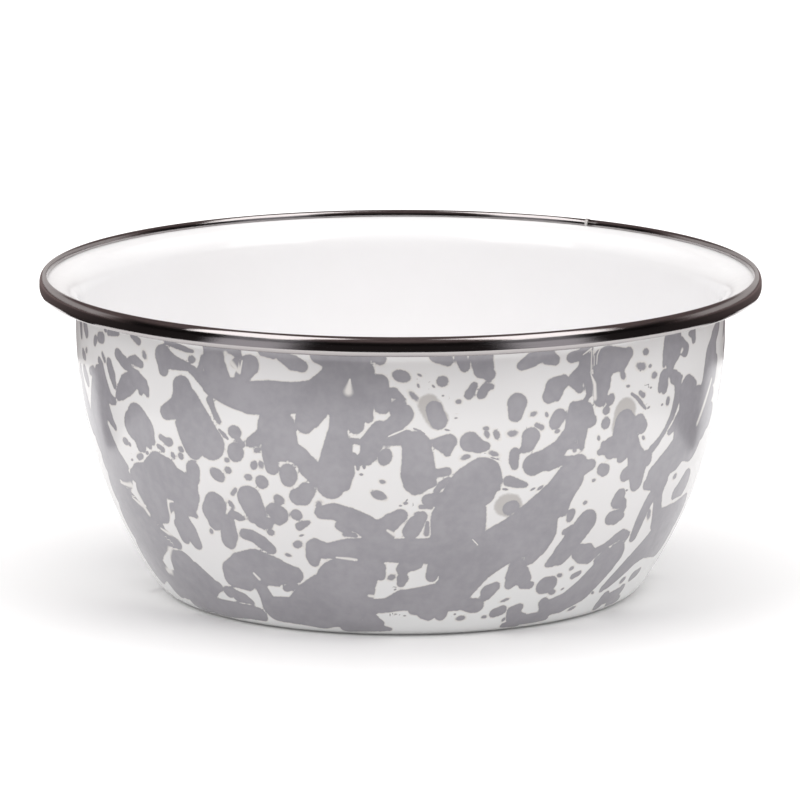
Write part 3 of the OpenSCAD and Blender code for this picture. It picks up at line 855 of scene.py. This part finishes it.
# Grain of the metals
GRAIN_PER_M = 900.0
GRAIN_DETAIL = 4.0
GRAIN_RANGE = (-0.6, 0.6)
GRAIN_ROUGHNESS = 0.05

# Ranges over which the enamel's colours change, and the shares that they reach
MOTTLE_RANGE = (-0.6, 0.6)
TONE_RANGE = (-0.5, 0.5)
DEPTH_RANGE = (-0.9, -0.2)
CREAM_RANGE = (0.05, 0.45)
HALO_RANGE = (-0.5, 0.35)
# Heights in metres over which the painted bounce light and cool tint fade out up the outer wall
PAINTED_BOUNCE_AND_TINT_HEIGHT = (0.002, 0.024)
DEPTH_SHARE = 0.3
CREAM_SHARE = 0.45
HALO_SHARE = 0.85
# How much of the painted bounce light and cool tint shows at the foot
PAINTED_BOUNCE_AND_TINT_SHARE = 0.6
HALO_WAVE = 1.5

# Edges of the marbling, in millimetres
EDGE_HALF = 0.14
SPREAD_MM = 0.15
WAVE_MM = 0.22
RAGGED_MM = 0.15
FINE_SLOPE = 0.35
VEIN_SLOPE = 0.22


def gloss(n, place, base_roughness):
    """Fired glaze: nearly smooth, with a faint ripple that bends reflections."""
    rough = n.math("ADD", n.noise(place, *ROUGH_NOISE), base_roughness)
    n.feed(n.bsdf.inputs["Roughness"], rough)
    ripple = n.math("ADD", n.noise(place, *RIPPLE_NOISE), n.noise(place, *FINE_RIPPLE_NOISE))
    n.bump(ripple, strength=0.25, distance=0.00012)


def marbled_enamel():
    n = Nodes("marbled_enamel")
    place = n.put("ShaderNodeTexCoord", {}).outputs["Object"]
    wave = n.math("ADD", n.noise(place, *WAVE_NOISE, WAVE_MM), n.noise(place, *RAGGED_NOISE, RAGGED_MM))

    def beyond(name):
        vector = n.attribute(name, "Vector")
        length = n.put("ShaderNodeVectorMath", {0: vector}, operation="LENGTH").outputs["Value"]
        return n.math("SUBTRACT", length, 1.0)

    first, second, third = (beyond(layer) for layer in FINE_LAYERS)
    nearest = n.math("MINIMUM", n.math("MINIMUM", first, second), third)
    fine = n.math("MULTIPLY", nearest, FINE_SLOPE)
    spread = n.math("SUBTRACT", wave, SPREAD_MM)
    grey = n.math("ADD", n.math("MINIMUM", n.attribute("grey", "Fac"), fine), spread)
    cut = n.math("MULTIPLY", beyond("vein"), -VEIN_SLOPE)
    d = n.math("MAXIMUM", grey, cut)
    halo = n.math("ADD", n.attribute("halo", "Fac"), n.math("MULTIPLY", wave, HALO_WAVE))

    mottle = n.math("ADD", n.noise(place, *MOTTLE_NOISE), n.noise(place, *SPECK_NOISE))
    pale = n.mix(n.step(mottle, *MOTTLE_RANGE, 0.0, 1.0), GREY_DARK, GREY_PALE)
    body = n.mix(n.step(d, *DEPTH_RANGE, 0.0, DEPTH_SHARE), pale, GREY_DARK)
    height = n.put("ShaderNodeSeparateXYZ", {"Vector": place}).outputs["Z"]
    # Painted bounce light with a cool tint: the white is paler low on the wall and fades to the plain white
    # higher up
    ground = n.mix(n.step(height, *PAINTED_BOUNCE_AND_TINT_HEIGHT, PAINTED_BOUNCE_AND_TINT_SHARE, 0.0), ENAMEL_WHITE, COOL_WHITE_WITH_PAINTED_BOUNCE)
    edged = n.mix(n.step(d, *CREAM_RANGE, CREAM_SHARE, 0.0), ground, CREAM)
    ringed = n.mix(n.step(halo, *HALO_RANGE, HALO_SHARE, 0.0), edged, HALO_GREY)
    colour = n.mix(n.step(d, -EDGE_HALF, EDGE_HALF, 1.0, 0.0), ringed, body)
    n.feed(n.bsdf.inputs["Base Color"], colour)
    gloss(n, place, base_roughness=0.18)
    return n.material


def white_enamel():
    n = Nodes("white_enamel")
    place = n.put("ShaderNodeTexCoord", {}).outputs["Object"]
    tone = n.step(n.noise(place, *TONE_NOISE), *TONE_RANGE, 0.0, 1.0)
    n.feed(n.bsdf.inputs["Base Color"], n.mix(tone, INSIDE_WHITE, INSIDE_WARM))
    gloss(n, place, base_roughness=0.11)
    return n.material


# Shares of the band's length over which welding darkens it, that colour and how much of it shows
SCORCH_SHARES = (0.9935, 0.9965)
SCORCH = rgba(0.10, 0.085, 0.08)
SCORCH_SHARE = 0.8


def metal(name, dark, light, roughness, streaks, relief):
    """Bare metal with fine streaks along one way of its UV map, or grains where it has none."""
    n = Nodes(name)
    coordinates = n.put("ShaderNodeTexCoord", {})
    place = coordinates.outputs["UV" if streaks else "Object"]
    if streaks:
        place = n.put("ShaderNodeVectorMath", {0: place, 1: streaks}, operation="MULTIPLY").outputs["Vector"]
    grain = n.noise(place, 1.0 if streaks else GRAIN_PER_M, GRAIN_DETAIL, 1.0)
    colour = n.mix(n.step(grain, *GRAIN_RANGE, 0.0, 1.0), dark, light)
    if streaks:
        along = n.put("ShaderNodeSeparateXYZ", {"Vector": coordinates.outputs["UV"]}).outputs["X"]
        colour = n.mix(n.step(along, *SCORCH_SHARES, 0.0, SCORCH_SHARE), colour, SCORCH)
    n.feed(n.bsdf.inputs["Base Color"], colour)
    n.feed(n.bsdf.inputs["Roughness"], n.math("ADD", n.math("MULTIPLY", grain, GRAIN_ROUGHNESS), roughness))
    n.bsdf.inputs["Metallic"].default_value = 1.0
    n.bump(grain, relief, distance=0.00002)
    return n.material


def ground_enamel():
    n = Nodes("ground_enamel")
    place = n.put("ShaderNodeTexCoord", {}).outputs["Object"]
    tone = n.step(n.noise(place, *GROUND_NOISE), *TONE_RANGE, 0.0, 1.0)
    n.feed(n.bsdf.inputs["Base Color"], n.mix(tone, GROUND_DARK, GROUND_PALE))
    gloss(n, place, base_roughness=0.25)
    return n.material


def finish_piece(piece, node, material):
    piece.data.materials.append(material)
    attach(piece, "root")
    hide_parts(node)


def coat(name, face_at, back_at):
    """Closed shell between two depths: its face is finely divided and its hidden back coarsely."""
    face = surface_at(face_at, *FACE_STEPS)
    back = surface_at(back_at, *HIDDEN_STEPS)
    front = column_angles(-QUARTER, HALF_TURN, FRONT_COLUMNS)
    rear = column_angles(QUARTER, HALF_TURN, BACK_COLUMNS)
    angles = np.concatenate([front, rear])
    return lathe(name, np.concatenate([face, back[::-1]]), angles, True, COAT_TILES), face, angles


# Outer coat with its marbling
outer, outer_face, outer_angles = coat("marbled_outside", 0, COVER_T)
climb = np.concatenate([[0], np.cumsum(np.hypot(*np.diff(outer_face, axis=0).T))])
foot_row = int(np.argmin(np.hypot(*(outer_face - np.array([FOOT_R, 0])).T)))
climb = climb - climb[foot_row]
fields = marbling(outer_angles, climb[1:])
under_foot(fields, slice(0, foot_row), outer_face[1:], outer_angles)
set_fields(outer, fields, len(outer.data.vertices), len(outer_angles), 0, -FAR)
finish_piece(outer, "outer_cover_coat", marbled_enamel())

# Inner coat
inner, _, _ = coat("white_inside", WALL_T, WALL_T - COVER_T)
finish_piece(inner, "inner_cover_coat", white_enamel())


# Rim band
def crown_at(out, bend_n):
    """Section of the band's crown, from its foot on the lip to its outer face."""
    inner_bend = arc(CROWN_IN_C, CROWN_IN + out - BAND_T, HALF_TURN, QUARTER, bend_n)
    outer_bend = arc(CROWN_OUT_C, CROWN_OUT + out - BAND_T, QUARTER, 0, bend_n)
    return np.concatenate([inner_bend, outer_bend[1:]])


def hem_at(out, bend_n):
    """Section of the band's hem, from its outer face to its leg behind the skirt."""
    bend = np.array([HEM_R, HEM_BEND_H - BAND_T]) + out
    outer_bend = arc(HEM_BEND_C, bend, 0, -QUARTER, bend_n)
    return np.concatenate([outer_bend, arc(HEM_C, HEM_R + out, -QUARTER, -HALF_TURN, bend_n)[1:]])


def band_section():
    hem_top = SKIRT_END + np.array([-BAND_GAP, HEM_H])
    return np.concatenate([
        crown_at(BAND_T, CROWN_STEPS),
        hem_at(BAND_T, HEM_STEPS),
        [hem_top - np.array([BAND_T, 0]), hem_top],
        hem_at(0, INSIDE_STEPS)[::-1],
        crown_at(0, INSIDE_STEPS)[::-1],
    ])


seam_deg = QUARTER + SEAM_AT
band_turn = WHOLE_TURN - SEAM_TURN
band_angles = np.linspace(seam_deg + SEAM_TURN / 2, seam_deg + SEAM_TURN / 2 + band_turn, BAND_COLUMNS)
band = lathe("rim_band_strip", band_section(), band_angles, False, BAND_TILES)
BAND_DARK = rgba(0.37, 0.35, 0.35)
BAND_LIGHT = rgba(0.45, 0.425, 0.423)
BAND_STREAKS = (18.0, 420.0, 1.0)
stainless = metal("stainless", BAND_DARK, BAND_LIGHT, roughness=0.06, streaks=BAND_STREAKS, relief=0.15)
finish_piece(band, "rim_band", stainless)

# CAD pieces that stay as they are
STEEL_DARK = rgba(0.26, 0.26, 0.27)
STEEL_LIGHT = rgba(0.36, 0.36, 0.37)
WELD_DARK = rgba(0.7, 0.69, 0.68)
WELD_LIGHT = rgba(0.88, 0.87, 0.85)
kept = {
    "steel_bowl": metal("pressed_steel", STEEL_DARK, STEEL_LIGHT, roughness=0.4, streaks=None, relief=0.2),
    "rim_weld": metal("weld_metal", WELD_DARK, WELD_LIGHT, roughness=0.55, streaks=None, relief=0.6),
}
kept["outer_ground_coat"] = ground_enamel()
kept["inner_ground_coat"] = kept["outer_ground_coat"]
for node, material in kept.items():
    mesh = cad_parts[node].data
    mesh.materials.clear()
    mesh.materials.append(material)

# Studio
AIM = Vector((0, 0, 0.036))


def soft_box(name, azimuth, elevation, distance, width, height, watts, colour):
    """Square lamp that faces the bowl. Azimuth is from the camera's side towards the right."""
    lamp = bpy.data.lights.new(name, "AREA")
    lamp.shape = "RECTANGLE"
    lamp.size, lamp.size_y = width, height
    lamp.energy = watts
    lamp.color = colour
    a, e = math.radians(azimuth), math.radians(elevation)
    way = Vector((math.sin(a) * math.cos(e), -math.cos(a) * math.cos(e), math.sin(e)))
    lamp_object = bpy.data.objects.new(name, lamp)
    lamp_object.location = AIM + distance * way
    lamp_object.rotation_euler = way.to_track_quat("Z", "Y").to_euler()
    bpy.context.scene.collection.objects.link(lamp_object)
    return lamp_object


LAMP_WHITE = (1.0, 0.995, 0.99)
SIDE_AZIMUTH = 53
SIDE_BOX = {"elevation": 44, "distance": 1.2, "width": 0.76, "height": 0.95, "watts": 5.0}
TOP_BOX = {"elevation": 72, "distance": 1.6, "width": 1.8, "height": 1.8, "watts": 12.0}
for side, name in ((-1, "left_box"), (1, "right_box")):
    soft_box(name, side * SIDE_AZIMUTH, colour=LAMP_WHITE, **SIDE_BOX)
top_box = soft_box("top_box", HALF_TURN, colour=LAMP_WHITE, **TOP_BOX)
top_box.visible_glossy = False


def seen_directly(tree):
    """1 for rays from the camera and for reflections, which show the white surroundings."""
    path = tree.nodes.new("ShaderNodeLightPath")
    total = path.outputs["Is Camera Ray"]
    for ray in ("Is Glossy Ray", "Is Transmission Ray"):
        node = tree.nodes.new("ShaderNodeMath")
        node.operation = "MAXIMUM"
        tree.links.new(total, node.inputs[0])
        tree.links.new(path.outputs[ray], node.inputs[1])
        total = node.outputs[0]
    return total


FLOOR_COLOUR = rgba(0.88, 0.872, 0.872)
# The floor glows for camera rays and reflections. The glow is weak near the bowl and grows outwards, which
# paints shade round the bowl on top of its real shadow. These are that glow near and far, and the distances
# in metres over which it changes
FLOOR_LIFT_IN_PAINTED_SHADE = 0.05
FLOOR_LIFT_FAR = 0.36
PAINTED_SHADE_FADE_FROM = 0.06
PAINTED_SHADE_FADE_TO = 0.2
WORLD_LIGHT = 0.56


def studio_floor():
    size = 6.0
    corners = [(-size, -size, 0), (size, -size, 0), (size, size, 0), (-size, size, 0)]
    mesh = bpy.data.meshes.new("floor")
    mesh.from_pydata(corners, [], [(0, 1, 2, 3)])
    material = bpy.data.materials.new("floor_paper")
    material.use_nodes = True
    tree = material.node_tree
    tree.nodes.remove(tree.nodes["Principled BSDF"])
    diffuse = tree.nodes.new("ShaderNodeBsdfDiffuse")
    diffuse.inputs["Color"].default_value = FLOOR_COLOUR
    glow = tree.nodes.new("ShaderNodeEmission")
    place = tree.nodes.new("ShaderNodeNewGeometry")
    reach = tree.nodes.new("ShaderNodeVectorMath")
    reach.operation = "LENGTH"
    tree.links.new(place.outputs["Position"], reach.inputs[0])
    # Painted shade round the bowl: less glow near it, more farther out
    lift = tree.nodes.new("ShaderNodeMapRange")
    limits = {"From Min": PAINTED_SHADE_FADE_FROM, "From Max": PAINTED_SHADE_FADE_TO}
    limits.update({"To Min": FLOOR_LIFT_IN_PAINTED_SHADE, "To Max": FLOOR_LIFT_FAR})
    for key, value in limits.items():
        lift.inputs[key].default_value = value
    tree.links.new(reach.outputs["Value"], lift.inputs["Value"])
    share = tree.nodes.new("ShaderNodeMath")
    share.operation = "MULTIPLY"
    tree.links.new(lift.outputs["Result"], share.inputs[1])
    both = tree.nodes.new("ShaderNodeAddShader")
    tree.links.new(seen_directly(tree), share.inputs[0])
    tree.links.new(share.outputs[0], glow.inputs["Strength"])
    tree.links.new(diffuse.outputs[0], both.inputs[0])
    tree.links.new(glow.outputs[0], both.inputs[1])
    tree.links.new(both.outputs[0], tree.nodes["Material Output"].inputs["Surface"])
    mesh.materials.append(material)
    floor = bpy.data.objects.new("floor", mesh)
    bpy.context.scene.collection.objects.link(floor)
    floor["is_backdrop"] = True


# Reach of the white table, by the angle in degrees from either side towards the back
TABLE_TURNS = (-90, -12, 4, 16, 27, 35, 46, 90)
TABLE_REACH = (0.23, 0.19, 0.175, 0.132, 0.132, 0.25, 0.26, 0.27)

# Room round the table. The sides of the panels and the sweep are turns from the front, in radians
ROOM_R = 2.6
ROOM_FLOOR_Z = 0.002
CEILING_HOLE_SHARE = 0.01
ROOM_FRONT = rgba(0.02, 0.017, 0.017)
ROOM_BACK = rgba(0.285, 0.22, 0.217)
PANEL_GREY = rgba(0.50, 0.49, 0.515)
PANEL_FROM = (0.45, 0.66)
PANEL_TO = (0.9, 1.05)
PANEL_TOP = (0.8, 1.4)
SWEEP_WHITE = rgba(0.85, 0.80, 0.79)
SWEEP_FROM = (1.7, 2.0)
SWEEP_FOOT = (0.1, 0.2)
SWEEP_TOP = (0.9, 1.3)
BACK_AT = (-0.1, 0.9)
HIGH_AT = (0.5, 2.2)


def studio_room():
    """Dark room round the white table, which only reflections show, with pale panels and a pale sweep."""
    sides = 128
    turn = 2 * math.pi * np.arange(sides) / sides
    table = np.interp(np.degrees(np.arcsin(np.sin(turn))), TABLE_TURNS, TABLE_REACH)
    wall = np.full(sides, ROOM_R)
    low_rings = ((table, ROOM_FLOOR_Z), (wall, ROOM_FLOOR_Z))
    rings = (*low_rings, (wall, ROOM_R), (wall * CEILING_HOLE_SHARE, ROOM_R))
    verts = [(r * math.cos(a), r * math.sin(a), z) for reach, z in rings for r, a in zip(reach, turn)]
    faces = []
    for k in range(len(rings) - 1):
        for i in range(sides):
            m = (i + 1) % sides
            faces.append((k * sides + i, k * sides + m, (k + 1) * sides + m, (k + 1) * sides + i))
    mesh = bpy.data.meshes.new("room")
    mesh.from_pydata(verts, [], faces)
    n = Nodes("dark_room")
    place = n.put("ShaderNodeTexCoord", {}).outputs["Object"]
    spot = n.put("ShaderNodeSeparateXYZ", {"Vector": place}).outputs
    back = n.step(spot["Y"], *BACK_AT, 0.0, 1.0)
    high = n.step(spot["Z"], *HIGH_AT, 0.0, 1.0)
    dark = n.mix(n.math("MAXIMUM", back, high), ROOM_FRONT, ROOM_BACK)
    facing = n.math("ARCTAN2", n.math("ABSOLUTE", spot["X"]), n.math("MULTIPLY", spot["Y"], -1.0))
    panel = n.math("MULTIPLY", n.step(facing, *PANEL_FROM, 0.0, 1.0), n.step(facing, *PANEL_TO, 1.0, 0.0))
    low = n.step(spot["Z"], *PANEL_TOP, 1.0, 0.0)
    under = n.step(spot["Z"], *SWEEP_TOP, 1.0, 0.0)
    behind = n.math("MULTIPLY", n.step(facing, *SWEEP_FROM, 0.0, 1.0), under)
    sweep = n.math("MULTIPLY", behind, n.step(spot["Z"], *SWEEP_FOOT, 0.0, 1.0))
    walls = n.mix(n.math("MULTIPLY", panel, low), dark, PANEL_GREY)
    n.feed(n.bsdf.inputs["Base Color"], n.mix(sweep, walls, SWEEP_WHITE))
    n.bsdf.inputs["Roughness"].default_value = 1.0
    n.bsdf.inputs["Specular IOR Level"].default_value = 0.0
    mesh.materials.append(n.material)
    room = bpy.data.objects.new("room", mesh)
    bpy.context.scene.collection.objects.link(room)
    room.visible_camera = False
    room.visible_diffuse = False
    room.visible_shadow = False
    room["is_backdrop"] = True


studio_floor()
studio_room()

world = bpy.data.worlds.new("studio")
world.use_nodes = True
bpy.context.scene.world = world
sky = world.node_tree
light = sky.nodes["Background"]
light.inputs["Color"].default_value = rgba(1.0, 1.0, 1.0)
light.inputs["Strength"].default_value = WORLD_LIGHT
white = sky.nodes.new("ShaderNodeBackground")
white.inputs["Color"].default_value = rgba(1.0, 1.0, 1.0)
shown = sky.nodes.new("ShaderNodeMixShader")
sky.links.new(seen_directly(sky), shown.inputs["Fac"])
sky.links.new(light.outputs[0], shown.inputs[1])
sky.links.new(white.outputs[0], shown.inputs[2])
sky.links.new(shown.outputs[0], sky.nodes["World Output"].inputs["Surface"])

# Camera at the photograph's view
CAMERA_ELEVATION = 11.39
CAMERA_DISTANCE = 1.8
CAMERA_AIM = Vector((-0.00013, 0, 0.04194))
LENS = 364.2
SENSOR = 36.0
tilt = math.radians(CAMERA_ELEVATION)
camera_data = bpy.data.cameras.new("camera")
camera_data.sensor_width = SENSOR
camera_data.lens = LENS
camera = bpy.data.objects.new("camera", camera_data)
camera.location = AIM + CAMERA_DISTANCE * Vector((0, -math.cos(tilt), math.sin(tilt)))
camera.rotation_euler = (camera.location - CAMERA_AIM).to_track_quat("Z", "Y").to_euler()
bpy.context.scene.collection.objects.link(camera)
bpy.context.scene.camera = camera
bpy.context.scene.view_settings.view_transform = "Standard"

# Sizes of the CAD model and of the dressed one
boxes = {"cad": cad_box, "visual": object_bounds()}
{key: [list(corner) for corner in value] for key, value in boxes.items()}
